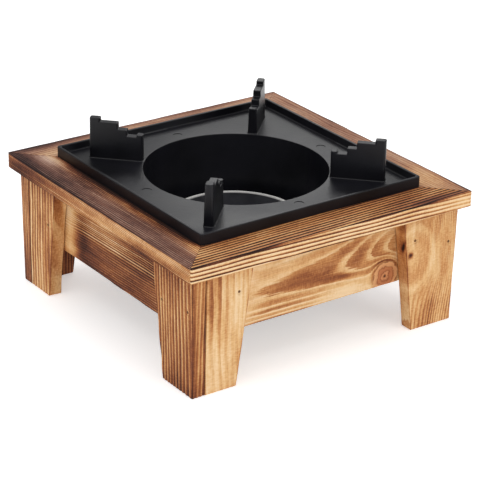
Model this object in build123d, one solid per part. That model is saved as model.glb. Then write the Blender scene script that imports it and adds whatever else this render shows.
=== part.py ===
from build123d import *
import os

# Table-top solid-fuel grill: a cast black burner that sits in a scorched wood stand.
# Millimetres, +Z up, origin on the floor under the middle. Front is -Y, left is -X.

# Stand
STAND_WIDTH = 240.0        # outer side of the square top frame
STAND_HEIGHT = 101.4       # floor to the top of the frame
FRAME_THICKNESS = 11.7
FRAME_BOARD_WIDTH = 46.0
LEG_SPAN_TOP = 226.8       # outer face to outer face of the legs, at the frame
LEG_SPAN_FOOT = 224.8
LEG_BOARD_THICKNESS = 11.5  # at the top, thinner at the foot by the lean of the outer face
LEG_WIDTH_TOP = 49.3
LEG_WIDTH_FOOT = 36.1
RAIL_THICKNESS = 11.5
RAIL_BOTTOM = 36.6
EASED_EDGE = 0.6           # sanded-off corner of every wood board

# Burner casting
BURNER_WIDTH = 187.4
BURNER_CORNER_RADIUS = 2.0
PLATE_THICKNESS = 2.6
RIM_HEIGHT = 8.0           # above the wood
RIM_THICKNESS = 2.2
RIM_LEAN = 0.8             # how far the rim's inner face leans in down to the plate
RIM_INNER_RADIUS = 1.5     # inner corners of the rim, seen from above
RIM_FILLET = 1.0           # where the rim meets the plate
RIM_EDGE = 0.6
WELL_RADIUS = 66.9         # inner, at the mouth
WELL_FLOOR_RADIUS = 62.0   # inner, where the wall would meet the floor
WELL_DEPTH = 62.5          # plate surface to well floor
WELL_THICKNESS = 3.0
WELL_CORNER_RADIUS = 7.0   # inner
WELL_LIP = 0.4
MARK_RADIUS = 3.6          # shallow round casting marks, midway along each side of the plate
MARK_DISTANCE = 76.0
MARK_DEPTH = 0.3

# Pot supports, one on each diagonal; distances are from the middle of the well
SUPPORT_THICKNESS_FOOT = 7.0
SUPPORT_THICKNESS_TOP = 5.6
SUPPORT_INNER = 68.1
KNOB_OUTER = 72.6
SEAT_LOW_OUTER = 79.8
SEAT_MIDDLE_OUTER = 86.5
SEAT_HIGH_OUTER = 99.4
SUPPORT_OUTER = 107.2
KNOB_RISE = 19.8           # heights above the plate surface
SEAT_LOW_RISE = 18.2
SEAT_MIDDLE_RISE = 22.9
SEAT_HIGH_RISE = 27.7
POST_RISE = 30.6
SUPPORT_END_RADIUS = 1.6   # rounded ends, seen from above
POST_INNER_RADIUS = 1.3    # inner side of the post and of the knob, seen from above
SUPPORT_EDGE = 0.6
SUPPORT_FILLET = 0.7       # where a support meets the plate

# Fuel dish
DISH_RADIUS = 48.8
DISH_HEIGHT = 24.0
DISH_THICKNESS = 1.5
DISH_FLOOR_RADIUS = 45.0
DISH_CORNER_RADIUS = 5.0
DISH_BEAD_RADIUS = 1.2     # rolled edge

# Brads and mitre nails
BRAD_RADIUS = 0.6
BRAD_HEAD_RADIUS = 1.0
BRAD_HEAD_HEIGHT = 1.2
BRAD_LENGTH = 20.0
BRAD_SET_DEPTH = 0.4       # how far each head is driven below the surface
RAIL_BRAD_OFFSET = 75.5    # from the middle of the side
CORNER_BRAD_HEIGHTS = (17.0, 63.0)
RAIL_CORNER_BRAD_HEIGHTS = (50.0, 76.0)
MITRE_NAIL_WING = 5.0
MITRE_NAIL_THICKNESS = 0.6
MITRE_NAIL_HEIGHT = 7.0
MITRE_NAIL_ANGLE = 50.0    # between each wing and the mitre
MITRE_NAIL_DISTANCES = (116.0, 148.0)  # along the diagonal

TINY = 0.01                # for telling edges apart

# Worked out from the sizes above
FRAME_BOTTOM = STAND_HEIGHT - FRAME_THICKNESS
RAIL_SPAN = LEG_SPAN_TOP - 2 * LEG_BOARD_THICKNESS
PLATE_TOP = STAND_HEIGHT + PLATE_THICKNESS
RIM_TOP = STAND_HEIGHT + RIM_HEIGHT
WELL_FLOOR = PLATE_TOP - WELL_DEPTH

SIDES = {"front": 0, "right": 90, "back": 180, "left": 270}
CORNERS = {"front_left": 0, "front_right": 90, "back_right": 180, "back_left": 270}
FRONT_TO_CORNER = -45.0    # turn from the middle of the front to the front left corner
# Height of the brad that holds each leg board to its rail: through board, then butt board
RAIL_BRAD_HEIGHTS = {
    "front_left": (60.0, 71.0),
    "front_right": (71.0, 64.0),
    "back_right": (66.0, 70.0),
    "back_left": (68.0, 58.0),
}


def box_between(low, high):
    """A plain box from its lowest corner to its highest."""
    size = [high[i] - low[i] for i in range(3)]
    centre = [(high[i] + low[i]) / 2 for i in range(3)]
    return Pos(*centre) * Box(*size)


def tapered_block(top, foot, height):
    """A ruled block between two level rectangles, each given as x0, y0, x1, y1."""
    def outline(rectangle, level):
        x0, y0, x1, y1 = rectangle
        centre = Pos((x0 + x1) / 2, (y0 + y1) / 2, level)
        return centre * Rectangle(x1 - x0, y1 - y0)
    return loft([outline(foot, 0), outline(top, height)], ruled=True)


def frame_board():
    """Front board of the top frame, mitred at both ends."""
    half = STAND_WIDTH / 2
    inner = half - FRAME_BOARD_WIDTH
    outline = Polyline((-half, -half), (half, -half), (inner, -inner), (-inner, -inner), close=True)
    board = Pos(0, 0, FRAME_BOTTOM) * extrude(make_face(outline), FRAME_THICKNESS)
    return fillet(board.faces().sort_by(Axis.Y)[0].edges().filter_by(Axis.X), EASED_EDGE)


def long_rail():
    """Front rail of the box under the frame; its ends cap the side rails."""
    half = RAIL_SPAN / 2
    rail = box_between((-half, -half, RAIL_BOTTOM), (half, RAIL_THICKNESS - half, FRAME_BOTTOM))
    return fillet(rail.edges().filter_by(Axis.X).group_by(Axis.Z)[0], EASED_EDGE)


def short_rail():
    """Left rail, which fits between the front and back ones."""
    half = RAIL_SPAN / 2
    end = half - RAIL_THICKNESS
    rail = box_between((-half, -end, RAIL_BOTTOM), (RAIL_THICKNESS - half, end, FRAME_BOTTOM))
    return fillet(rail.edges().filter_by(Axis.Y).group_by(Axis.Z)[0], EASED_EDGE)


def through_board():
    """Leg board on the left face of the front left leg; it runs out to the corner."""
    top, foot, inner = LEG_SPAN_TOP / 2, LEG_SPAN_FOOT / 2, RAIL_SPAN / 2
    board = tapered_block(
        (-top, -top, -inner, LEG_WIDTH_TOP - top),
        (-foot, -foot, -inner, LEG_WIDTH_FOOT - foot),
        FRAME_BOTTOM,
    )
    return fillet(board.faces().sort_by(Axis.X)[0].edges(), EASED_EDGE)


def butt_board():
    """Leg board on the front face of the front left leg; it stops at the through board."""
    top, foot, inner = LEG_SPAN_TOP / 2, LEG_SPAN_FOOT / 2, RAIL_SPAN / 2
    board = tapered_block(
        (-inner, -top, LEG_WIDTH_TOP - top, -inner),
        (-inner, -foot, LEG_WIDTH_FOOT - foot, -inner),
        FRAME_BOTTOM,
    )
    outer_edges = board.faces().sort_by(Axis.Y)[0].edges()
    return fillet(outer_edges.sort_by(Axis.X)[1:], EASED_EDGE)


def leg_face(height):
    """Distance of a leg's outer face from the middle, at a height above the floor."""
    share = height / FRAME_BOTTOM
    return (LEG_SPAN_FOOT + share * (LEG_SPAN_TOP - LEG_SPAN_FOOT)) / 2


def place(side, surface, along, height):
    """Where a brad enters: turned to a side, on its surface, with +Z pointing inwards."""
    return Rot(0, 0, side) * Pos(along, -surface, height) * Rot(-90, 0, 0)


def leg_rail_places():
    """One brad through each leg board into the rail behind it."""
    places = []
    for corner, (through_height, butt_height) in RAIL_BRAD_HEIGHTS.items():
        turn = CORNERS[corner]
        through_face, butt_face = leg_face(through_height), leg_face(butt_height)
        through_side = turn + SIDES["left"]
        places.append(place(through_side, through_face, RAIL_BRAD_OFFSET, through_height))
        places.append(place(turn, butt_face, -RAIL_BRAD_OFFSET, butt_height))
    return places


def leg_corner_places():
    """Brads through each through board into the edge of its butt board."""
    along = (LEG_SPAN_FOOT - LEG_BOARD_THICKNESS) / 2
    return [
        place(turn + SIDES["left"], leg_face(height), along, height)
        for turn in CORNERS.values()
        for height in CORNER_BRAD_HEIGHTS
    ]


def rail_corner_places():
    """Brads through the front and back rails into the ends of the side ones."""
    along = (RAIL_SPAN - RAIL_THICKNESS) / 2
    return [
        place(SIDES[side], RAIL_SPAN / 2, end * along, height)
        for side in ("front", "back")
        for end in (-1, 1)
        for height in RAIL_CORNER_BRAD_HEIGHTS
    ]


def upright_cylinder(radius, low, high):
    """A cylinder on the Z axis between two heights."""
    base = (Align.CENTER, Align.CENTER, Align.MIN)
    return Pos(0, 0, low) * Cylinder(radius, high - low, align=base)


def brad():
    """A round-headed brad, its head set just under the surface at height 0."""
    head = upright_cylinder(BRAD_HEAD_RADIUS, BRAD_SET_DEPTH, BRAD_SET_DEPTH + BRAD_HEAD_HEIGHT)
    return head + upright_cylinder(BRAD_RADIUS, BRAD_SET_DEPTH, BRAD_SET_DEPTH + BRAD_LENGTH)


def brad_hole():
    """The hole that a brad leaves, open at the surface."""
    return brad() + upright_cylinder(BRAD_HEAD_RADIUS, -BRAD_HEAD_HEIGHT, BRAD_SET_DEPTH)


def mitre_nails():
    """V-shaped nails pressed up across every mitre from below."""
    base = (Align.CENTER, Align.MIN, Align.MIN)
    wing = Box(MITRE_NAIL_THICKNESS, MITRE_NAIL_WING, MITRE_NAIL_HEIGHT, align=base)
    nail = Rot(0, 0, MITRE_NAIL_ANGLE) * wing + Rot(0, 0, -MITRE_NAIL_ANGLE) * wing
    return [
        Rot(0, 0, turn + FRONT_TO_CORNER) * Pos(0, -distance, FRAME_BOTTOM) * nail
        for turn in CORNERS.values()
        for distance in MITRE_NAIL_DISTANCES
    ]


def plate():
    """The square plate with its raised rim."""
    outline = RectangleRounded(BURNER_WIDTH, BURNER_WIDTH, BURNER_CORNER_RADIUS)
    slab = Pos(0, 0, STAND_HEIGHT) * extrude(outline, RIM_HEIGHT)
    top = BURNER_WIDTH / 2 - RIM_THICKNESS
    foot = top - RIM_LEAN
    pocket = Pos(0, 0, PLATE_TOP) * tapered_block(
        (-top, -top, top, top), (-foot, -foot, foot, foot), RIM_TOP - PLATE_TOP
    )
    upright_edges = pocket.edges().group_by(Axis.Z)[1]
    tray = slab - fillet(upright_edges, RIM_INNER_RADIUS)
    surface_edges = tray.faces().filter_by(Axis.Z).group_by(Axis.Z)[1].edges()
    tray = fillet(surface_edges, RIM_FILLET)
    return fillet(tray.faces().sort_by(Axis.Z)[-1].edges(), RIM_EDGE)


def round_block(mouth_radius, floor_radius, low, high, corner_radius):
    """A round block, narrower at the floor, with a rounded lower corner."""
    outline = Polyline((0, low), (floor_radius, low), (mouth_radius, high), (0, high), close=True)
    section = make_face(Plane.XZ * outline)
    corner = section.vertices().group_by(Axis.Z)[0].sort_by(Axis.X)[-1]
    return revolve(fillet(corner, corner_radius), Axis.Z)


def upright_edges(shape, *distances):
    """Edges that rise at the given distances along X."""
    return [
        edge
        for edge in shape.edges()
        if edge.bounding_box().size.Z > SUPPORT_EDGE
        and min(abs(edge.center().X - distance) for distance in distances) < TINY
    ]


def support():
    """A stepped pot support with its foot at height 0 and its length along -Y."""
    steps = (
        (KNOB_OUTER, KNOB_RISE),
        (SEAT_LOW_OUTER, SEAT_LOW_RISE),
        (SEAT_MIDDLE_OUTER, SEAT_MIDDLE_RISE),
        (SEAT_HIGH_OUTER, SEAT_HIGH_RISE),
        (SUPPORT_OUTER, POST_RISE),
    )
    outline = [(SUPPORT_INNER, 0)]
    for end, rise in steps:
        start = outline[-1][0]
        outline += [(start, rise), (end, rise)]
    outline.append((SUPPORT_OUTER, 0))
    section = make_face(Plane.XZ * Polyline(*outline, close=True))
    stepped = extrude(section, SUPPORT_THICKNESS_FOOT / 2, both=True)
    top, foot = SUPPORT_THICKNESS_TOP / 2, SUPPORT_THICKNESS_FOOT / 2
    draft = tapered_block(
        (SUPPORT_INNER, -top, SUPPORT_OUTER, top),
        (SUPPORT_INNER, -foot, SUPPORT_OUTER, foot),
        POST_RISE,
    )
    drafted = stepped & draft
    ended = fillet(upright_edges(drafted, SUPPORT_INNER, SUPPORT_OUTER), SUPPORT_END_RADIUS)
    rounded = fillet(upright_edges(ended, KNOB_OUTER, SEAT_HIGH_OUTER), POST_INNER_RADIUS)
    above_foot = [edge for edge in rounded.edges() if edge.bounding_box().min.Z > SUPPORT_EDGE]
    return Rot(0, 0, -90) * fillet(above_foot, SUPPORT_EDGE)


def burner_casting():
    """Plate, rim, well and pot supports, cast as one piece."""
    well_outside = round_block(
        WELL_RADIUS + WELL_THICKNESS, WELL_FLOOR_RADIUS + WELL_THICKNESS,
        WELL_FLOOR - WELL_THICKNESS, STAND_HEIGHT, WELL_CORNER_RADIUS + WELL_THICKNESS,
    )
    well_inside = round_block(
        WELL_RADIUS, WELL_FLOOR_RADIUS, WELL_FLOOR, PLATE_TOP, WELL_CORNER_RADIUS
    )
    mark = upright_cylinder(MARK_RADIUS, PLATE_TOP - MARK_DEPTH, RIM_TOP)
    casting = plate() + well_outside - well_inside
    casting = fillet(well_mouth(casting), WELL_LIP)
    for turn in SIDES.values():
        casting -= Rot(0, 0, turn) * Pos(0, -MARK_DISTANCE, 0) * mark
    for turn in CORNERS.values():
        casting += Rot(0, 0, turn + FRONT_TO_CORNER) * Pos(0, 0, PLATE_TOP) * support()
    return fillet(support_feet(casting), SUPPORT_FILLET)


def well_mouth(casting):
    """The round edge where the well opens in the plate."""
    return [
        edge
        for edge in casting.edges().filter_by(GeomType.CIRCLE)
        if abs(edge.radius - WELL_RADIUS) < WELL_LIP and edge.center().Z > STAND_HEIGHT
    ]


def support_feet(casting):
    """The straight edges, all on the diagonals, where the supports meet the plate."""
    return [
        edge
        for edge in casting.edges().filter_by(GeomType.LINE)
        if abs(edge.center().Z - PLATE_TOP) < MARK_DEPTH / 2
        and abs(abs(edge.center().X) - abs(edge.center().Y)) < SUPPORT_THICKNESS_FOOT
    ]


def fuel_dish():
    """A plain round dish with a rolled edge, standing on the floor of the well."""
    top = WELL_FLOOR + DISH_HEIGHT
    outside = round_block(DISH_RADIUS, DISH_FLOOR_RADIUS, WELL_FLOOR, top, DISH_CORNER_RADIUS)
    inside = round_block(
        DISH_RADIUS - DISH_THICKNESS, DISH_FLOOR_RADIUS - DISH_THICKNESS,
        WELL_FLOOR + DISH_THICKNESS, top, DISH_CORNER_RADIUS - DISH_THICKNESS,
    )
    bead = Torus(DISH_RADIUS, DISH_BEAD_RADIUS)
    return outside - inside + Pos(0, 0, top - DISH_BEAD_RADIUS) * bead


def wood_boards():
    """Every board of the stand, by name, before the brads and nails go in."""
    boards = {}
    for side, turn in SIDES.items():
        boards[f"top_board_{side}"] = Rot(0, 0, turn) * frame_board()
    boards["rail_front"] = long_rail()
    boards["rail_back"] = Rot(0, 0, 180) * long_rail()
    boards["rail_left"] = short_rail()
    boards["rail_right"] = Rot(0, 0, 180) * short_rail()
    for corner, turn in CORNERS.items():
        boards[f"leg_{corner}_through_board"] = Rot(0, 0, turn) * through_board()
        boards[f"leg_{corner}_butt_board"] = Rot(0, 0, turn) * butt_board()
    return boards


def main():
    brad_places = {
        "leg_rail_brads": leg_rail_places(),
        "leg_corner_brads": leg_corner_places(),
        "rail_corner_brads": rail_corner_places(),
    }
    nodes = {name: Compound([spot * brad() for spot in spots]) for name, spots in brad_places.items()}
    nodes["mitre_nails"] = Compound(mitre_nails())
    cuts = [spot * brad_hole() for spots in brad_places.values() for spot in spots]
    cuts += mitre_nails()
    for name, board in wood_boards().items():
        nodes[name] = board - cuts
    nodes["burner_casting"] = burner_casting()
    nodes["fuel_dish"] = fuel_dish()
    os.makedirs("parts", exist_ok=True)
    for name, shape in nodes.items():
        export_step(shape, f"parts/{name}.step")


main()
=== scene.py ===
"""Looks of a hibachi grill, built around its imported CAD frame.

Metres, +Z up, origin on the floor under the middle; front is -Y and left is -X.
Inside the wood builder, lengths are in millimetres and a board has its own three directions:
along the grain, across it, and deep, which runs inwards from the face that shows.
"""

from dataclasses import dataclass
from math import cos, radians, sin

import bpy
import numpy as np
from mathutils import Matrix, Vector


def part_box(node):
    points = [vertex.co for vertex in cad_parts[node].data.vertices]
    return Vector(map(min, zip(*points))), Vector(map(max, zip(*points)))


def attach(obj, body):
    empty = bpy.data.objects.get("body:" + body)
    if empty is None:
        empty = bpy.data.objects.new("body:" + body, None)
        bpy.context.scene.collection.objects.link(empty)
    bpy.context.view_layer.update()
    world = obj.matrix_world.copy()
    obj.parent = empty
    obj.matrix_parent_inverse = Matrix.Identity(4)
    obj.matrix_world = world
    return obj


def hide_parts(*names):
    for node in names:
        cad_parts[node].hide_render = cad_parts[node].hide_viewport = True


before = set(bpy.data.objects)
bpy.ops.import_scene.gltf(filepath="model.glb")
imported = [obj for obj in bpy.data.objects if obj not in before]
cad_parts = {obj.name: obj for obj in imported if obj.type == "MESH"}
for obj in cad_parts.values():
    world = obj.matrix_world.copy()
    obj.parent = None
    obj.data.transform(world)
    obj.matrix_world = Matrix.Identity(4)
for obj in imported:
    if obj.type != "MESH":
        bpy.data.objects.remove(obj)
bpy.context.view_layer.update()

MM = 0.001
# How far each side and each corner is turned from the front or the front left, in degrees
SIDES = {"front": 0, "right": 90, "back": 180, "left": 270}
CORNERS = {"front_left": 0, "front_right": 90, "back_right": 180, "back_left": 270}


# ---------------------------------------------------------------- colours and shader graphs

NOISE_REACH = 0.2                  # how far from its middle nearly all of a noise lies
NOISE_BAND = (0.5 - NOISE_REACH, 0.5 + NOISE_REACH)


def srgb(red, green, blue):
    """A linear colour from screen values of 0 to 255."""
    shares = (value / 255 for value in (red, green, blue))
    linear = [s / 12.92 if s <= 0.04045 else ((s + 0.055) / 1.055) ** 2.4 for s in shares]
    return (*linear, 1.0)


class Graph:
    """A shader node tree, with short calls that add nodes and join them."""

    def __init__(self, tree):
        self.tree = tree

    def feed(self, socket, value):
        """Joins another node's output to the socket, or gives it a plain value."""
        if isinstance(value, bpy.types.NodeSocket):
            self.tree.links.new(value, socket)
        else:
            socket.default_value = value

    def node(self, kind, inputs, **settings):
        made = self.tree.nodes.new(kind)
        for name, value in settings.items():
            setattr(made, name, value)
        for key, value in inputs.items():
            self.feed(made.inputs[key], value)
        return made

    def attribute(self, name, output="Fac"):
        """What the mesh stores under this name."""
        return self.node("ShaderNodeAttribute", {}, attribute_name=name).outputs[output]

    def coordinates(self, output):
        return self.node("ShaderNodeTexCoord", {}).outputs[output]

    def height_of(self, vector):
        return self.node("ShaderNodeSeparateXYZ", {"Vector": vector}).outputs["Z"]

    def math(self, operation, *values, clamp=False):
        inputs = dict(enumerate(values))
        made = self.node("ShaderNodeMath", inputs, operation=operation, use_clamp=clamp)
        return made.outputs[0]

    def total(self, *values):
        """The sum of the values."""
        result = values[0]
        for value in values[1:]:
            result = self.math("ADD", result, value)
        return result

    def spread(self, value, low, high, new_low=0.0, new_high=1.0):
        """The value, moved from one range to another and held inside it."""
        inputs = {"Value": value, "From Min": low, "From Max": high, "To Min": new_low, "To Max": new_high}
        return self.node("ShaderNodeMapRange", inputs, clamp=True).outputs["Result"]

    def swing(self, noise, amount, reach=NOISE_REACH):
        """A noise's swing about its middle, made to run from minus the amount to plus the amount."""
        return self.spread(noise, 0.5 - reach, 0.5 + reach, -amount, amount)

    def stretch(self, vector, scale):
        inputs = {"Vector": vector, "Scale": scale}
        return self.node("ShaderNodeMapping", inputs).outputs["Vector"]

    def noise(self, vector, scale, detail=2.0, roughness=0.5):
        inputs = {"Vector": vector, "Scale": scale, "Detail": detail, "Roughness": roughness}
        return self.node("ShaderNodeTexNoise", inputs).outputs["Fac"]

    def chance(self, number):
        """A random value from 0 to 1 for each whole number."""
        inputs = {"W": self.math("FLOOR", number)}
        return self.node("ShaderNodeTexWhiteNoise", inputs, noise_dimensions="1D").outputs["Value"]

    def ramp(self, factor, stops):
        made = self.node("ShaderNodeValToRGB", {"Fac": factor})
        elements = made.color_ramp.elements
        for index, (position, colour) in enumerate(stops):
            element = elements[index] if index < 2 else elements.new(position)
            element.position = position
            element.color = colour
        return made.outputs["Color"]

    def mix(self, factor, first, second):
        made = self.node("ShaderNodeMixRGB", {"Fac": factor, "Color1": first, "Color2": second})
        return made.outputs["Color"]


class MaterialGraph(Graph):
    """The shader graph of a new material, around its main shader."""

    def __init__(self, name, **sockets):
        self.material = bpy.data.materials.new(name)
        self.material.use_nodes = True
        super().__init__(self.material.node_tree)
        self.shader = self.tree.nodes["Principled BSDF"]
        self.give(**sockets)

    def give(self, **sockets):
        """Feeds the shader's sockets, which are named here with underscores for spaces."""
        for name, value in sockets.items():
            self.feed(self.shader.inputs[name.replace("_", " ")], value)

    def bump(self, height, distance, strength=1.0):
        inputs = {"Height": height, "Distance": distance, "Strength": strength}
        self.give(Normal=self.node("ShaderNodeBump", inputs).outputs["Normal"])


# ---------------------------------------------------------------- wood: how each board looks

@dataclass
class Spot:
    """A soft patch that differs from the board around it; its reaches are one sigma.

    Across is unfolded over both long edges, so below 0 it lies on the outer narrow edge face.
    """
    along: float
    across: float
    reach_along: float
    reach_across: float
    burn: float = 0.0
    ash: float = 0.0
    contrast: float = 0.0
    slant: float = 0.0     # how far the patch climbs across, for each unit along

    def strength(self, along, unfolded):
        """1 in the middle of the patch, and less with distance."""
        off_along = along - self.along
        off_across = unfolded - self.across - self.slant * off_along
        off = (off_along / self.reach_along) ** 2 + (off_across / self.reach_across) ** 2
        return np.exp(-off / 2)


@dataclass
class Knot:
    """A knot, or with no darkness the swirl beside one. The grain flows round it."""
    along: float
    across: float
    radius: float
    stretch: float = 1.0   # its length along the grain, for each unit of width
    dark: float = 1.0
    halo: float = 0.0      # burn added in a ring at its edge

    def distance(self, along, across):
        """How far each point is from its middle, in radii."""
        return np.hypot((along - self.along) / self.stretch, across - self.across) / self.radius


@dataclass
class Wood:
    """One board's figure. The pith is the tree's middle, seen from the board's outer long edge."""
    seed: int
    pith: tuple            # across, deep
    tilt: tuple            # how far the pith wanders across and deep, for each unit along
    spacing: float         # of the growth rings
    wave: float            # in rings
    burn: float            # 0 pale, 1 black
    contrast: float        # of late wood against early wood, negative where the late wood is paler
    ash: float = 0.0       # 0 toasted orange, 1 brushed grey-brown char
    edge_burn: float = 0.0  # added on the narrow outer edge face
    edge_ash: float = 0.0
    relief: float = 0.12   # how far the soft early wood is brushed away
    phase: float = 0.0     # in rings
    late_power: float = 1.0  # above 1 the late wood is thin lines, below 1 it is wide bands
    bow: float = 0.0       # how the deep tilt grows beyond the board's middle
    squash: float = 1.0    # how many times closer the rings lie below the pith than above it
    spots: tuple = ()
    knots: tuple = ()


ALL_ALONG = 500.0          # a reach so long that the spot is a strip

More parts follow.
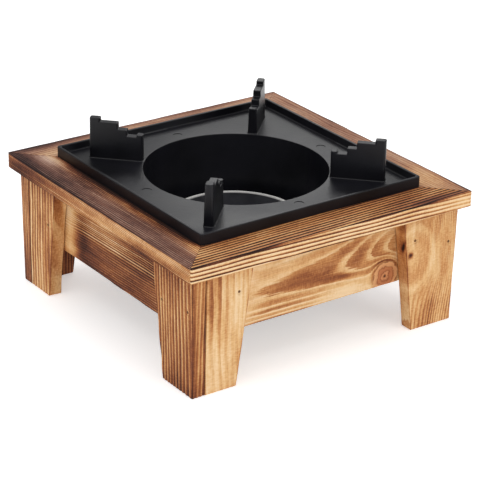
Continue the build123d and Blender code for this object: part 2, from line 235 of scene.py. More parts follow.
BOARDS = {
    "top_board_left": Wood(
        seed=11, pith=(-60, -95), tilt=(0.02, 0.0), spacing=1.05, wave=1.0, burn=0.79, contrast=-0.38,
        ash=0.9, edge_burn=-0.3, edge_ash=-0.9, relief=0.32, late_power=1.4, spots=(
            Spot(0, 26, ALL_ALONG, 6, burn=0.16, ash=-0.9),      # warm strip beside the casting
            Spot(0, 27, ALL_ALONG, 2.5, burn=0.3),               # black line against the casting: char with painted contact shade
            Spot(-92, 21, 15, 6.5, burn=-0.75, ash=0.5),         # pale patch at the far end
            Spot(-100, 16, 15, 14, contrast=0.34),
            Spot(100, 26, 9, 8, burn=-0.5, ash=-0.5),            # pale corner at the front mitre
            Spot(30, 21, 22, 3, burn=-0.12, ash=-0.3),
            Spot(-50, 0, 50, 0.8, burn=0.3),                     # scorched outer arris
            Spot(-95, -6, 34, 9, burn=0.43, ash=0.1),            # dark far end of the edge face
            Spot(68, -12, 26, 3.4, burn=0.44),                   # dark lower arris near the front
        ),
    ),
    "top_board_front": Wood(
        seed=12, pith=(-52, -58), tilt=(0.0, 0.02), spacing=2.3, wave=0.4, burn=0.26, contrast=0.84,
        edge_burn=-0.2, relief=0.22, spots=(
            # darker strip against the casting: char with painted contact shade
            Spot(0, 27, ALL_ALONG, 3, burn=0.15),
            Spot(96, 3, 24, 3.2, burn=0.4, ash=0.3),             # scorched wedge at the right end
            Spot(-40, 3, 50, 4, burn=0.1, ash=0.15),
            Spot(70, 18, 50, 9, burn=0.16),
            Spot(-100, 18, 14, 8, burn=-0.1),
            Spot(0, -7, ALL_ALONG, 4, burn=-0.1, ash=-0.2, contrast=-0.14),  # pale edge face
            Spot(0, -13, ALL_ALONG, 1.5, burn=-0.3),
            Spot(112, -6, 20, 6, contrast=-0.4),                 # lines fade towards the right
        ),
    ),
    "top_board_right": Wood(
        seed=13, pith=(-70, -60), tilt=(0.0, 0.02), spacing=2.2, wave=1.0, burn=0.31, contrast=0.12,
        ash=0.75, relief=0.18, spots=(
            # darker strip against the casting: char with painted contact shade
            Spot(0, 27, ALL_ALONG, 3, burn=0.2),
            Spot(-84, 14, 20, 14, burn=-0.12, ash=-0.45),        # warm front end
            Spot(-112, -0.5, 14, 2, burn=0.5),                   # scorched outer arris
            Spot(0, -0.5, ALL_ALONG, 1.3, burn=0.4),
            Spot(30, 12, 50, 14, burn=0.08),
        ),
    ),
    "top_board_back": Wood(
        seed=14, pith=(80, -70), tilt=(0.0, 0.02), spacing=2.2, wave=1.0, burn=0.31, contrast=0.2,
        ash=0.75, relief=0.18, spots=(
            # darker strip against the casting: char with painted contact shade
            Spot(0, 27, ALL_ALONG, 3, burn=0.2),
            Spot(0, 0, ALL_ALONG, 3, burn=0.25),
            Spot(105, 2, 26, 6, burn=0.35, ash=0.2),
            Spot(92, 20, 16, 7, burn=-0.2, ash=-0.2),
        ),
    ),
    "rail_left": Wood(
        seed=21, pith=(-60, -40), tilt=(0.02, 0.01), spacing=1.6, wave=1.0, burn=0.64, contrast=-0.28,
        relief=0.3, late_power=1.4, spots=(
            Spot(-63, 26, 7.5, 40, burn=-0.55, contrast=0.3),    # golden end beside the back leg
            Spot(-24, 44, 24, 9, burn=-0.17),                    # paler under the frame
            Spot(0, 29, ALL_ALONG, 5, burn=0.04, contrast=-0.3),  # pale streaks along the middle
            Spot(-34, 10, 16, 10, burn=0.14, ash=0.1, contrast=0.15),
            Spot(34, 27, 18, 12, burn=0.19),
            Spot(-16, 26, 12, 10, burn=-0.08),
            Spot(-46, 14, 6, 18, burn=0.2),
            Spot(6, 17, 26, 9, burn=0.1),
            Spot(0, 50, ALL_ALONG, 5, burn=-0.1, contrast=0.3),  # plain strip under the frame
            Spot(0, 0, ALL_ALONG, 4, burn=0.12),                 # scorched lower edge
        ),
    ),
    "rail_front": Wood(
        seed=22, pith=(22, 38.5), tilt=(0.02, -0.03), spacing=2.9, wave=0.14, burn=0.09, contrast=0.06,
        relief=0.16, phase=0.1, late_power=0.4, bow=-0.0015, squash=1.55, spots=(
            Spot(-34, 20, 46, 9, burn=0.04, contrast=0.26),      # long pointed figure
            Spot(34, 27, 24, 12, burn=0.08, contrast=0.34),      # pointed arches beside the knot
            Spot(-45, 3, 34, 6, burn=-0.08, contrast=0.34),      # lines along the lower edge
            Spot(-68, 30, 10, 22, burn=-0.03, contrast=-0.3),    # plain end beside the left leg
            Spot(24, 6, 16, 5, burn=-0.06, contrast=-0.2),
            Spot(10, 2, 60, 5, burn=-0.08),
        ),
        knots=(Knot(59, 7, 12, halo=0.24),),
    ),
    "rail_right": Wood(
        seed=23, pith=(-50, -45), tilt=(0.02, 0.0), spacing=2.2, wave=1.2, burn=0.34, contrast=0.4,
    ),
    "rail_back": Wood(
        seed=24, pith=(20, 40), tilt=(0.02, 0.08), spacing=2.6, wave=1.4, burn=0.3, contrast=0.42,
        knots=(Knot(-24, 34, 6, halo=0.2),),
    ),
    "leg_front_left_through_board": Wood(
        seed=31, pith=(-35, -60), tilt=(0.02, 0.0), spacing=2.5, wave=0.35, burn=0.66, contrast=-0.4,
        edge_burn=-0.04, relief=0.45, late_power=1.1, spots=(
            Spot(45, -6, ALL_ALONG, 4, burn=-0.08, contrast=0.16),  # the edge face's pale middle
            Spot(45, -1, ALL_ALONG, 1.5, burn=0.16, contrast=0.1),  # and its two dark sides
            Spot(45, -11.5, ALL_ALONG, 1.8, burn=0.24, contrast=0.1),
            Spot(0, 20, 6, 40, burn=0.14),
            Spot(86, 36, 14, 12, burn=0.16),
        ),
    ),
    "leg_front_left_butt_board": Wood(
        seed=32, pith=(-20, 60), tilt=(0.0, 0.0), spacing=2.6, wave=0.5, burn=0.1, contrast=0.13, spots=(
            Spot(74, 8, 20, 7, burn=0.07, contrast=0.2),
            Spot(45, 3, 40, 3, burn=0.14),                       # brown strip beside the joint
            Spot(88, 20, 5, 30, burn=0.1),                       # darker at the top, under the frame
        ),
    ),
    "leg_front_right_through_board": Wood(
        seed=33, pith=(-60, 20), tilt=(0.0, 0.0), spacing=2.3, wave=0.8, burn=0.235, contrast=0.03,
        edge_burn=0.05, spots=(
            Spot(10, 20, 15, 60, burn=-0.02, contrast=0.23),
            Spot(98, 12, 12, 16, burn=0.06, contrast=0.2),
            Spot(60, 38, 22, 12, burn=0.11, contrast=-0.1),
            Spot(76, 52, 24, 5, burn=0.24),                      # the brown tapered face
            Spot(12, 52, 22, 5, burn=0.1),
            Spot(67, 49.5, 2.7, 1.1, burn=0.8, slant=-0.2),      # two pitch pockets
            Spot(60.5, 41.5, 1.5, 1.4, burn=0.8),
        ),
        knots=(Knot(57, 38, 17, stretch=1.4, dark=0.0, halo=-0.14),),
    ),
    "leg_front_right_butt_board": Wood(
        seed=34, pith=(-40, -30), tilt=(0.05, 0.0), spacing=2.6, wave=1.2, burn=0.5, contrast=0.3, ash=0.2,
    ),
    "leg_back_right_through_board": Wood(
        seed=35, pith=(-30, -40), tilt=(-0.03, 0.0), spacing=2.6, wave=1.2, burn=0.3, contrast=0.42,
    ),
    "leg_back_right_butt_board": Wood(
        seed=36, pith=(-40, 40), tilt=(0.02, 0.04), spacing=2.8, wave=1.2, burn=0.24, contrast=0.38,
    ),
    "leg_back_left_through_board": Wood(
        seed=37, pith=(-30, -45), tilt=(0.0, 0.0), spacing=2.3, wave=1.0, burn=0.62, contrast=0.25,
        ash=0.1, edge_burn=-0.26,
    ),
    "leg_back_left_butt_board": Wood(
        seed=38, pith=(-60, -12), tilt=(0.03, 0.0), spacing=3.9, wave=0.5, burn=0.55, contrast=-0.36,
        relief=0.4, late_power=1.1, spots=(
            Spot(30, 30, 24, 7, burn=-0.06, contrast=0.2),
            Spot(88, 24, 6, 30, burn=0.16),                      # darker at the top, under the frame
            Spot(6, 20, 12, 30, burn=-0.08),
            # painted light: paler where the frame's shadow falls on the tapered face
            Spot(68, 50, 8, 5, burn=-0.26),
            Spot(46, 47, ALL_ALONG, 6, burn=-0.28, contrast=0.34, slant=0.15),  # the tapered face, made paler: partly its wood, partly painted light against its shade
        ),
    ),
}


# ---------------------------------------------------------------- wood: growth rings

# A board's noises: the size of their features along, across and deep, and a step from its seed
RING_WAVES = ((34, 13, 13), 0)
RING_DRIFT = ((9, 9, 9), 1)        # read by radius: wide rings give way to narrow ones
WEAR = ((40, 6, 6), 2)             # where the brush has worn more, and where less
WAVINESS = ((25, 14, 14), 3)       # of the board's faces
NOISE_CELLS = 32

DRIFT_SHARE = 1.3                  # how much the drift shifts the rings, against the waves
LATE_WOOD_START = (0.3, 0.75)      # in shares of one ring
LATE_WOOD_END = (0.88, 1.0)
HALO_REACH = 0.1                   # of a knot's radius


def board_noise(wood, noise, points):
    """One of the board's smooth noises, from 0 to 1."""
    sizes, seed_step = noise
    table = np.random.default_rng(wood.seed + seed_step).random((NOISE_CELLS,) * 3)
    cells = points / np.array(sizes) + NOISE_CELLS
    low = np.floor(cells).astype(int)
    share = cells - low
    share = share * share * (3 - 2 * share)
    total = np.zeros(len(points))
    for corner in np.ndindex(2, 2, 2):
        index = (low + corner) % NOISE_CELLS
        weight = np.where(corner, share, 1 - share).prod(axis=1)
        total += weight * table[tuple(index.T)]
    return total


def smoothstep(low, high, value):
    """0 below the low value, 1 above the high one, and a smooth rise between."""
    share = np.clip((value - low) / (high - low), 0, 1)
    return share * share * (3 - 2 * share)


def growth_rings(wood, seated):
    """How many rings lie between the pith and each point."""
    along, across, deep = seated.T
    for knot in wood.knots:
        flow = 1 - np.maximum(knot.distance(along, across), 1) ** -2
        across = knot.across + (across - knot.across) * flow
    across_off = across - wood.pith[0] - wood.tilt[0] * along
    deep_off = deep - wood.pith[1] - wood.tilt[1] * along - wood.bow * np.maximum(along, 0) ** 2
    across_off = across_off * np.where(across_off < 0, wood.squash, 1)
    radius = np.hypot(across_off, deep_off)
    places = np.stack((along, across, deep), axis=-1)
    waves = board_noise(wood, RING_WAVES, places) - 0.5
    drift = board_noise(wood, RING_DRIFT, np.outer(radius, (0, 1, 0))) - 0.5
    rings = radius / wood.spacing + wood.phase + wood.wave * (waves + DRIFT_SHARE * drift)
    whole = np.floor(rings)
    return whole + (rings - whole) ** wood.late_power


def late_share(rings):
    """0 in the soft early wood of each ring, up to 1 in its hard late wood."""
    share = rings % 1
    return smoothstep(*LATE_WOOD_START, share) * (1 - smoothstep(*LATE_WOOD_END, share))


def knot_share(wood, along, across):
    """1 in the middle of each knot, down to 0 at its edge."""
    share = np.zeros_like(along)
    for knot in wood.knots:
        share = np.maximum(share, knot.dark * (1 - knot.distance(along, across)))
    return share


def knot_halos(wood, along, across):
    """Burn added round the knots' edges."""
    total = np.zeros_like(along)
    for knot in wood.knots:
        off = (knot.distance(along, across) - 1) / HALO_REACH
        total += knot.halo * np.exp(-off ** 2 / 2)
    return total


def with_spots(wood, quantity, along, unfolded):
    """A board's burn, ash or contrast at each point, its spots added."""
    total = np.full_like(along, getattr(wood, quantity))
    for spot in wood.spots:
        total += getattr(spot, quantity) * spot.strength(along, unfolded)
    return total


# ---------------------------------------------------------------- wood: shape

ALONG, ACROSS, DEEP = range(3)
# Directions of a board that is turned to the front: along the grain, across it, and deep
FRAME_DIRECTIONS = ((1, 0, 0), (0, 1, 0), (0, 0, -1))
RAIL_DIRECTIONS = ((1, 0, 0), (0, 0, 1), (0, 1, 0))
THROUGH_DIRECTIONS = ((0, 0, 1), (0, 1, 0), (1, 0, 0))
BUTT_DIRECTIONS = ((0, 0, 1), (1, 0, 0), (0, 1, 0))

STEPS = (1.6, 0.36, 0.6)           # mesh cells along, across and deep
ARRIS_LINES = (0.12, 0.3, 0.55, 0.9)  # extra mesh lines beside each arris
CLOSEST_LINES = 0.9 * ARRIS_LINES[0]
ARRIS_RADIUS = 0.6
MITRE_RADIUS = 0.15
FRAME_CORNER_RADIUS = 1.8          # of the top frame's four upright corners
END_BAND = 0.8                     # how near an end a corner is looked for

BRAD_REACH = (-1, 2)               # how deep a brad's point may lie to count as part of its head
DIMPLE_LINES = (-1.2, -0.95, -0.5, 0.0, 0.5, 0.95, 1.2)  # extra mesh lines through each brad
DIMPLE_RADIUS = 1.15
DIMPLE_FLOOR_RADIUS = 0.9
DIMPLE_DEPTH = 0.5
DIMPLE_FADE = (0.2, 0.6)           # how deep below the face a dimple ends

WEAR_SHARE = 0.6                   # how much of the brushing comes and goes
WAVE_DEPTH = 0.12                  # how far a face is from flat

END_SCORCH_SHARE = 2.0             # how many times thinner the scorched line is at a board's ends
MITRE_SCORCH_SHARE = 9.0
EDGE_FOLD = (0.5, 3.0)             # how near a long edge the unfolded face turns the corner
EDGE_FACE = (0.3, 1.2)             # how far from the arris the narrow edge face has set in
GRAIN_SHIFT = 500                  # how far apart two boards may lie in the material's noise


def directions(rows, turn):
    """A board's three directions in the model, one on each row."""
    cosine, sine = cos(radians(turn)), sin(radians(turn))
    return np.array(rows) @ np.array(((cosine, sine, 0), (-sine, cosine, 0), (0, 0, 1)))


def cad_points(node):
    """A CAD node's corners, in millimetres."""
    return np.array([vertex.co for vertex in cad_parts[node].data.vertices]) / MM


def ends_of(points, taper):
    """Lowest and highest corner at both ends of the direction in which the board tapers."""
    ends = []
    for end in (points[:, taper].min(), points[:, taper].max()):
        near = points[abs(points[:, taper] - end) < END_BAND]
        low, high = near.min(axis=0), near.max(axis=0)
        low[taper] = high[taper] = end
        ends.append((low, high))
    return np.array(ends)


def brads_of(points_of_brads, corners):
    """Brad heads that enter a board's outer face, as along and across places."""
    low, high = corners[:, 0].min(axis=0), corners[:, 1].max(axis=0)
    shallowest, deepest = low[DEEP] + BRAD_REACH
    found = set()
    for point in points_of_brads:
        inside = (low[:2] < point[:2]).all() and (point[:2] < high[:2]).all()
        if inside and shallowest < point[DEEP] < deepest:
            found.add((round(point[ALONG], 1), round(point[ACROSS], 1)))
    return sorted(found)


def mesh_lines(length, step, dimples):
    """Where the mesh lines lie from 0 to the length: even, closer at both ends and at brads."""
    even = np.linspace(0, length, round(length / step) + 1)
    arrises = [end for line in ARRIS_LINES for end in (line, length - line)]
    brads = [dimple + line for dimple in dimples for line in DIMPLE_LINES]
    lines = np.array(sorted([*even[1:-1], *arrises, *brads]))
    kept = [0.0]
    for line in lines[(lines > 0) & (lines < length)]:
        if line - kept[-1] > CLOSEST_LINES:
            kept.append(line)
    return np.array([*kept, length]) / length


def block_surface(counts):
    """Lattice places and four-sided faces on the surface of a block of cells, facing outwards."""
    shape = np.array(counts) + 1
    quads = []
    for axis in range(3):
        first, second = (other for other in range(3) if other != axis)
        for level in (0, counts[axis]):
            place = [None] * 3
            place[axis] = np.array([[level]])
            place[first], place[second] = np.ogrid[: shape[first], : shape[second]]
            ids = np.ravel_multi_index(np.broadcast_arrays(*place), shape)
            corners = (ids[:-1, :-1], ids[1:, :-1], ids[1:, 1:], ids[:-1, 1:])
            quad = np.stack(corners, axis=-1).reshape(-1, 4)
            inward = (level == 0) != (axis == 1)
            quads.append(quad[:, ::-1] if inward else quad)
    used, faces = np.unique(np.concatenate(quads), return_inverse=True)
    return np.stack(np.unravel_index(used, shape), axis=-1), faces.reshape(-1, 4)


def board_lattice(corners, taper, brads):
    """The mesh of a sharp-edged board.

    Gives each point's low corner, the board's extent there, the point's place within that extent,
    and the faces.
    """
    size = (corners[:, 1] - corners[:, 0]).max(axis=0)
    size[taper] = corners[1, 0, taper] - corners[0, 0, taper]
    base = corners[:, 0].min(axis=0)
    dimples = [[brad[axis] - base[axis] for brad in brads] for axis in (ALONG, ACROSS)] + [[]]
    lines = [mesh_lines(size[axis], STEPS[axis], dimples[axis]) for axis in range(3)]
    places, faces = block_surface([len(line) - 1 for line in lines])
    shares = np.stack([lines[axis][places[:, axis]] for axis in range(3)], axis=-1)
    toward = shares[:, taper][:, None]
    low = corners[0, 0] * (1 - toward) + corners[1, 0] * toward
    high = corners[0, 1] * (1 - toward) + corners[1, 1] * toward
    low[:, taper], high[:, taper] = corners[0, 0, taper], corners[1, 0, taper]
    extent = high - low
    return low, extent, shares * extent, faces


def round_arrises(low, extent, within, mitred):
    """The board's surface with rounded arrises, and the direction outwards at each point."""
    radii = np.full(3, ARRIS_RADIUS)
    if mitred:
        radii[ALONG] = MITRE_RADIUS
    core = np.clip(within, radii, extent - radii)
    outward = (within - core) / radii
    outward /= np.linalg.norm(outward, axis=1)[:, None]
    return low + core + radii * outward, outward


def round_frame_corners(surface, base):
    """Rounds the upright outer corner at both ends of a mitred board."""
    core_end = abs(base[ALONG]) - FRAME_CORNER_RADIUS
    core_edge = base[ACROSS] + FRAME_CORNER_RADIUS
    past_end = np.maximum(abs(surface[:, ALONG]) - core_end, 0)
    past_edge = np.maximum(core_edge - surface[:, ACROSS], 0)
    reach = np.maximum(np.hypot(past_end, past_edge), FRAME_CORNER_RADIUS)
    pull = 1 - FRAME_CORNER_RADIUS / reach
    surface[:, ALONG] -= np.sign(surface[:, ALONG]) * past_end * pull
    surface[:, ACROSS] += past_edge * pull


def brushed_depth(wood, seated, rings):
    """How far the brush has worn the surface down."""
    worn = board_noise(wood, WEAR, seated)
    depth = wood.relief * (1 - late_share(rings)) * (1 - WEAR_SHARE + WEAR_SHARE * worn)
    return depth + WAVE_DEPTH * board_noise(wood, WAVINESS, seated)


def with_dimples(depth, surface, deep, brads):
    """The depth, with a small flat-bottomed dent at each brad."""
    on_face = 1 - smoothstep(*DIMPLE_FADE, deep)
    for along, across in brads:
        distance = np.hypot(surface[:, ALONG] - along, surface[:, ACROSS] - across)
        hole = on_face * (1 - smoothstep(DIMPLE_FLOOR_RADIUS, DIMPLE_RADIUS, distance))
        depth = depth * (1 - hole) + DIMPLE_DEPTH * hole
    return depth


def board_values(wood, seated, rings, extent, within, mitred):
    """What the material reads at each point of a board."""
    along, across, deep = seated.T
    to_faces = np.minimum(within, extent - within)
    outer = within[:, ACROSS] < extent[:, ACROSS] / 2
    beside_edge = 1 - smoothstep(*EDGE_FOLD, to_faces[:, ACROSS])
    unfolded = across + np.where(outer, -deep, deep) * beside_edge
    edge_face = smoothstep(*EDGE_FACE, deep) * (1 - smoothstep(*EDGE_FACE, across))
    burn = with_spots(wood, "burn", along, unfolded) + knot_halos(wood, along, across)
    to_faces[:, ALONG] *= MITRE_SCORCH_SHARE if mitred else END_SCORCH_SHARE
    return {
        "ring": rings,
        "burn": burn + wood.edge_burn * edge_face,
        "ash": with_spots(wood, "ash", along, unfolded) + wood.edge_ash * edge_face,
        "contrast": with_spots(wood, "contrast", along, unfolded),
        "knot": knot_share(wood, along, across),
        "arris": np.sort(to_faces, axis=1)[:, 1],
    }


def store(mesh, name, kind, field, numbers):
    """Keeps a number or a vector for each point of the mesh, for the material to read."""
    stored = mesh.attributes.new(name, kind, "POINT")
    stored.data.foreach_set(field, numbers.astype(np.float32).ravel())


def wood_board(node, rows, turn, taper, brad_points):
    """Builds one board over its CAD solid, with brushed growth rings and small dents at the brads."""
    wood = BOARDS[node]
    mitred = taper == ACROSS
    basis = directions(rows, turn)
    corners = ends_of(cad_points(node) @ basis.T, taper)
    base = corners[:, 0].min(axis=0)
    brads = brads_of(brad_points @ basis.T, corners)
    low, extent, within, faces = board_lattice(corners, taper, brads)
    surface, outward = round_arrises(low, extent, within, mitred)
    if mitred:
        round_frame_corners(surface, base)

    # Along counts from the board's middle, across and deep from its outer edge and its face
    seated = surface - base * (0, 1, 1)
    rings = growth_rings(wood, seated)
    depth = with_dimples(brushed_depth(wood, seated, rings), surface, seated[:, DEEP], brads)
    surface -= outward * depth[:, None]
    if np.linalg.det(basis) < 0:
        faces = faces[:, ::-1]

    mesh = bpy.data.meshes.new(f"{node}_wood")
    mesh.from_pydata((surface @ basis * MM).tolist(), [], faces.tolist())
    mesh.shade_smooth()
    for name, numbers in board_values(wood, seated, rings, extent, within, mitred).items():
        store(mesh, name, "FLOAT", "value", numbers)
    grain = seated + GRAIN_SHIFT * np.random.default_rng(wood.seed).random(3)
    store(mesh, "grain", "FLOAT_VECTOR", "vector", grain)
    board = bpy.data.objects.new(f"{node}_wood", mesh)
    bpy.context.collection.objects.link(board)
    return board


# ---------------------------------------------------------------- wood: material

# Colours of the wood by its tone, from pale to black
TOASTED = (
    (0.00, srgb(238, 206, 162)),
    (0.18, srgb(224, 180, 124)),
    (0.36, srgb(198, 138, 82)),
    (0.52, srgb(160, 97, 54)),
    (0.68, srgb(122, 66, 39)),
    (0.84, srgb(84, 44, 29)),
    (1.00, srgb(40, 24, 19)),
)
CHARRED = (
    (0.00, srgb(212, 182, 160)),
    (0.30, srgb(168, 134, 117)),
    (0.55, srgb(126, 91, 78)),
    (0.75, srgb(92, 62, 54)),
    (0.90, srgb(62, 43, 40)),
    (1.00, srgb(36, 26, 26)),
)
KNOT_RINGS = (                     # from its edge to its middle
    (0.00, srgb(120, 70, 42)),
    (0.07, srgb(146, 88, 54)),
    (0.14, srgb(216, 160, 108)),
    (0.32, srgb(202, 142, 94)),
    (0.39, srgb(146, 84, 50)),
    (0.48, srgb(186, 118, 74)),
    (0.64, srgb(174, 106, 66)),
    (0.70, srgb(138, 76, 46)),
    (0.80, srgb(204, 140, 92)),
    (0.87, srgb(186, 120, 76)),
    (0.94, srgb(96, 54, 34)),
    (1.00, srgb(76, 42, 28)),
)
# How much late wood there is on the way through one ring
LATE_WOOD = ((0.0, 0.0), (0.42, 0.08), (0.64, 0.8), (0.8, 1.0), (0.96, 0.9), (1.0, 0.0))
LATE_STRENGTH = (0.65, 1.35)       # of one ring's late wood against another's


@dataclass
class WoodNoise:
    """A noise that follows the grain, with its features for each mm along, across and deep."""
    features: tuple
    detail: float = 3.0
    roughness: float = 0.6

    def build(self, graph, grain):
        return graph.noise(graph.stretch(grain, self.features), 1.0, self.detail, self.roughness)


RAGGED = WoodNoise((0.05, 0.9, 0.9))
FIBRES = WoodNoise((0.035, 1.9, 1.9), detail=4.0, roughness=0.65)
BEADS = WoodNoise((0.9, 0.35, 0.35))
PATCHES = WoodNoise((0.022, 0.07, 0.07))
LOBES = WoodNoise((0.22, 0.22, 0.22))

# How far each noise shifts what it acts on
RAGGED_RING_SHIFT = 0.06           # in rings
RAGGED_ASH_SHIFT = 0.15
FIBRE_TONE_SHIFT = 0.12
BEAD_TONE_SHIFT = 0.07
PATCH_TONE_SHIFT = 0.13
LOBE_SHIFT = 0.11                  # in shares of a knot's radius

ARRIS_SCORCH = 0.26                # tone added on an arris
ARRIS_SCORCH_FADE = (0.2, 1.0)     # how far from the arris it fades, in mm
ARRIS_SCORCH_WIDTH = (0.5, 1.5)    # from place to place, against its usual width
KNOT_FADE = (0.0, 0.12)            # how the knot's own colours set in at its edge
ROUGHENING_TONES = (0.2, 1.0)      # between which the wood gets rougher
WOOD_ROUGHNESS = (0.55, 0.75)
WOOD_BUMP = 0.12 * MM
LATE_WOOD_BUMP_SHARE = 0.6


def late_wood_of(graph, shaken):
    """0 in each ring's early wood, up to 1 in its late wood."""
    stops = [(place, (late, late, late, 1)) for place, late in LATE_WOOD]
    return graph.ramp(graph.math("FRACT", shaken), stops)


def knot_colour(graph, knot, lobes):
    """The knot's own rings, made a little lobed."""
    return graph.ramp(graph.math("ADD", knot, graph.swing(lobes, LOBE_SHIFT)), KNOT_RINGS)


def scorched_wood():
    """Softwood that was scorched and brushed: its tone runs from pale to black, toasted or charred."""
    graph = MaterialGraph("scorched_wood", Specular_IOR_Level=0.16)
    ring, burn, ash, contrast, knot, arris = (
        graph.attribute(name) for name in ("ring", "burn", "ash", "contrast", "knot", "arris")
    )
    grain = graph.attribute("grain", "Vector")
    ragged, fibres, beads, patches, lobes = (
        noise.build(graph, grain) for noise in (RAGGED, FIBRES, BEADS, PATCHES, LOBES)
    )

    shaken = graph.math("ADD", ring, graph.swing(ragged, RAGGED_RING_SHIFT))
    late = late_wood_of(graph, shaken)
    strength = graph.spread(graph.chance(shaken), 0, 1, *LATE_STRENGTH)
    late_tone = graph.math("MULTIPLY", graph.math("MULTIPLY", late, strength), contrast)
    width = graph.spread(patches, *NOISE_BAND, *ARRIS_SCORCH_WIDTH)
    edge_tone = graph.spread(graph.math("DIVIDE", arris, width), *ARRIS_SCORCH_FADE, ARRIS_SCORCH, 0.0)
    tone = graph.total(
        burn,
        late_tone,
        graph.swing(fibres, FIBRE_TONE_SHIFT, reach=0.25),
        graph.swing(beads, BEAD_TONE_SHIFT),
        graph.swing(patches, PATCH_TONE_SHIFT),
    )
    tone = graph.math("ADD", tone, edge_tone, clamp=True)

    ashen = graph.math("ADD", ash, graph.swing(ragged, RAGGED_ASH_SHIFT), clamp=True)
    colour = graph.mix(ashen, graph.ramp(tone, TOASTED), graph.ramp(tone, CHARRED))
    colour = graph.mix(graph.spread(knot, *KNOT_FADE), colour, knot_colour(graph, knot, lobes))
    graph.give(Base_Color=colour, Roughness=graph.spread(tone, *ROUGHENING_TONES, *WOOD_ROUGHNESS))
    graph.bump(graph.math("ADD", graph.math("MULTIPLY", late, LATE_WOOD_BUMP_SHARE), fibres), WOOD_BUMP)
    return graph.material


# ---------------------------------------------------------------- metal materials

CLOUD_BAND = (0.35, 0.65)          # where a noise turns from one colour to the other

BLACK_FINISH = (srgb(12, 12, 16), srgb(23, 23, 29))
IRON_ROUGHNESS = (0.32, 0.42)

# A near-white band painted along the top of the dish's rim stands in for the highlight the rim catches
RIM_HIGHLIGHT_BAND = 1.2 * MM
SOOTED_STEEL = (srgb(110, 110, 115), srgb(138, 138, 143))
RIM_HIGHLIGHT_WHITE = srgb(246, 244, 240)
DISH_METALLIC = (1.0, 0.3)         # where it is sooted, and at the near-white highlight painted on its rim
DISH_ROUGHNESS = (0.3, 0.42)
DRAWN_ROUND = (1, 1, 12)           # squeezes a noise into rings round the dish

STAINED_WIRE = (srgb(92, 62, 40), srgb(126, 90, 60))
WIRE_ROUGHNESS = (0.5, 0.7)


def satin_black_iron():
    """A black finish over cast iron: fine sand texture, slightly clouded."""
    graph = MaterialGraph("satin_black_iron", Specular_IOR_Level=0.3)
    place = graph.coordinates("Object")
    sand = graph.noise(place, scale=900, detail=3, roughness=0.6)
    pitting = graph.noise(place, scale=260)
    clouds = graph.noise(place, scale=18, detail=3, roughness=0.55)
    graph.give(
        Base_Color=graph.mix(graph.spread(clouds, *CLOUD_BAND), *BLACK_FINISH),
        Roughness=graph.spread(clouds, *NOISE_BAND, *IRON_ROUGHNESS),
    )
    graph.bump(graph.math("ADD", sand, pitting), distance=0.05 * MM, strength=0.8)
    return graph.material


def dish_steel():
    """Thin sheet steel, dark with heat and soot, with a near-white highlight painted along the top of its
    rim.
    """
    graph = MaterialGraph("dish_steel")
    place = graph.coordinates("Object")
    clouds = graph.noise(place, scale=40, detail=3, roughness=0.6)
    brushing = graph.noise(graph.stretch(place, DRAWN_ROUND), scale=500)
    rim_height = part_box("fuel_dish")[1][2]
    # painted highlight: the top of the rim is made near white and less metallic
    rim_highlight = graph.spread(graph.height_of(place), rim_height - RIM_HIGHLIGHT_BAND, rim_height - RIM_HIGHLIGHT_BAND / 2)
    sooted = graph.mix(graph.spread(clouds, *CLOUD_BAND), *SOOTED_STEEL)
    graph.give(
        Base_Color=graph.mix(rim_highlight, sooted, RIM_HIGHLIGHT_WHITE),
        Metallic=graph.spread(rim_highlight, 0, 1, *DISH_METALLIC),
        Roughness=graph.spread(brushing, *NOISE_BAND, *DISH_ROUGHNESS),
    )
    graph.bump(brushing, distance=0.02 * MM, strength=0.6)
    return graph.material


def nail_steel():
    """Brown-stained wire that sits in a scorched hole."""
    graph = MaterialGraph("nail_steel", Metallic=0.1, Specular_IOR_Level=0.08)
    stain = graph.noise(graph.coordinates("Object"), scale=1200, detail=3, roughness=0.6)
    graph.give(
        Base_Color=graph.mix(graph.spread(stain, *CLOUD_BAND), *STAINED_WIRE),
        Roughness=graph.spread(stain, *NOISE_BAND, *WIRE_ROUGHNESS),
    )
    graph.bump(stain, distance=0.02 * MM)
    return graph.material


# ---------------------------------------------------------------- the pieces

BRAD_NODES = ("leg_rail_brads", "leg_corner_brads", "rail_corner_brads")
CAD_MATERIALS = {
    "burner_casting": satin_black_iron,
    "fuel_dish": dish_steel,
}


def board_plans():
    """Each board's node, directions, turn, direction of taper and slot."""
    for side, turn in SIDES.items():
        yield f"top_board_{side}", FRAME_DIRECTIONS, turn, ACROSS, "frame_wood"
    for side, turn in SIDES.items():
        yield f"rail_{side}", RAIL_DIRECTIONS, turn, ALONG, "rail_wood"
    for corner, turn in CORNERS.items():
        yield f"leg_{corner}_through_board", THROUGH_DIRECTIONS, turn, ALONG, "leg_wood"
        yield f"leg_{corner}_butt_board", BUTT_DIRECTIONS, turn, ALONG, "leg_wood"


def build_wood():
    brad_points = np.concatenate([cad_points(node) for node in BRAD_NODES])
    material = scorched_wood()
    for node, rows, turn, taper, slot in board_plans():
        board = wood_board(node, rows, turn, taper, brad_points)
        board.data.materials.append(material)
        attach(board, "stand")
        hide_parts(node)


def set_material(node, material):
    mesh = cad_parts[node].data
    mesh.materials.clear()
    mesh.materials.append(material)


def dress_cad_nodes():
    """Gives the pieces that keep their CAD meshes their materials."""
    steel = nail_steel()
    for node in (*BRAD_NODES, "mitre_nails"):
        set_material(node, steel)
    for node, make in CAD_MATERIALS.items():
        set_material(node, make())


# ---------------------------------------------------------------- floor, light and camera

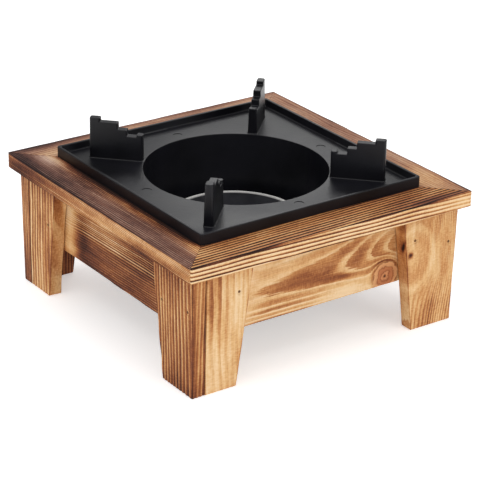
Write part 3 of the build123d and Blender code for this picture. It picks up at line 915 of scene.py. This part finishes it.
FLOOR_SIZE = 60.0
FLOOR_GREY = (0.86, 0.86, 0.86, 1.0)
FLOOR_ROUGHNESS = 0.9
FLOOR_GLOW = 0.55
WORLD_WHITE = (1, 1, 1, 1)
WORLD_LOW = 0.18                   # its brightness at the horizon and below
WORLD_HIGH = 0.8                   # and straight above
SOFT_BOXES = (                     # name, place, size and power
    ("overhead", (-0.3, -0.2, 1.6), 1.4, 9),
    ("front_box", (0.5, -1.6, 0.8), 1.0, 6),
    ("left_box", (-1.7, 0.1, 0.8), 1.0, 3.8),
    ("low_window", (0.34, 0.42, 0.42), 0.22, 0.42),
)
CAMERA_PLACE = Vector((-0.7959, -1.1218, 0.6695))
CAMERA_YAW = radians(35.514)       # clockwise from +Y
CAMERA_PITCH = radians(24.342)     # downwards
CAMERA_ROLL = radians(1.137)
CAMERA_LENS = 155.4                # in mm, like the sensor's width
CAMERA_SENSOR = 36.0


def plain_floor():
    half = FLOOR_SIZE / 2
    mesh = bpy.data.meshes.new("floor")
    corners = [(-half, -half, 0), (half, -half, 0), (half, half, 0), (-half, half, 0)]
    mesh.from_pydata(corners, [], [(0, 1, 2, 3)])
    floor = bpy.data.objects.new("floor", mesh)
    bpy.context.collection.objects.link(floor)
    paper = MaterialGraph("floor_paper", Base_Color=FLOOR_GREY, Roughness=FLOOR_ROUGHNESS)
    paper.give(Emission_Color=FLOOR_GREY, Emission_Strength=FLOOR_GLOW)
    floor.data.materials.append(paper.material)


def pale_room():
    """A world that is brighter above than around."""
    world = bpy.data.worlds.new("studio")
    world.use_nodes = True
    graph = Graph(world.node_tree)
    height = graph.height_of(graph.coordinates("Generated"))
    background = graph.tree.nodes["Background"]
    graph.feed(background.inputs["Color"], WORLD_WHITE)
    graph.feed(background.inputs["Strength"], graph.spread(height, 0, 1, WORLD_LOW, WORLD_HIGH))
    bpy.context.scene.world = world


def soft_box(name, place, size, power):
    """A square light that faces the grill."""
    light = bpy.data.lights.new(name, "AREA")
    light.shape = "SQUARE"
    light.size = size
    light.energy = power
    lamp = bpy.data.objects.new(name, light)
    lamp.location = place
    lamp.rotation_euler = (-Vector(place)).to_track_quat("-Z", "Y").to_euler()
    bpy.context.collection.objects.link(lamp)


def studio_light():
    pale_room()
    for box in SOFT_BOXES:
        soft_box(*box)
    bpy.context.scene.view_settings.view_transform = "Standard"


def camera():
    """Looks at the grill as the photo does."""
    forward = Vector((
        sin(CAMERA_YAW) * cos(CAMERA_PITCH),
        cos(CAMERA_YAW) * cos(CAMERA_PITCH),
        -sin(CAMERA_PITCH),
    ))
    level = Vector((cos(CAMERA_YAW), -sin(CAMERA_YAW), 0))
    above = level.cross(forward)
    right = cos(CAMERA_ROLL) * level + sin(CAMERA_ROLL) * above
    up = -sin(CAMERA_ROLL) * level + cos(CAMERA_ROLL) * above
    data = bpy.data.cameras.new("camera")
    data.lens = CAMERA_LENS
    data.sensor_width = CAMERA_SENSOR
    seen_from = bpy.data.objects.new("camera", data)
    turned = Matrix((right, up, -forward)).transposed().to_4x4()
    seen_from.matrix_world = Matrix.Translation(CAMERA_PLACE) @ turned
    bpy.context.collection.objects.link(seen_from)
    bpy.context.scene.camera = seen_from


build_wood()
dress_cad_nodes()
plain_floor()
studio_light()
camera()
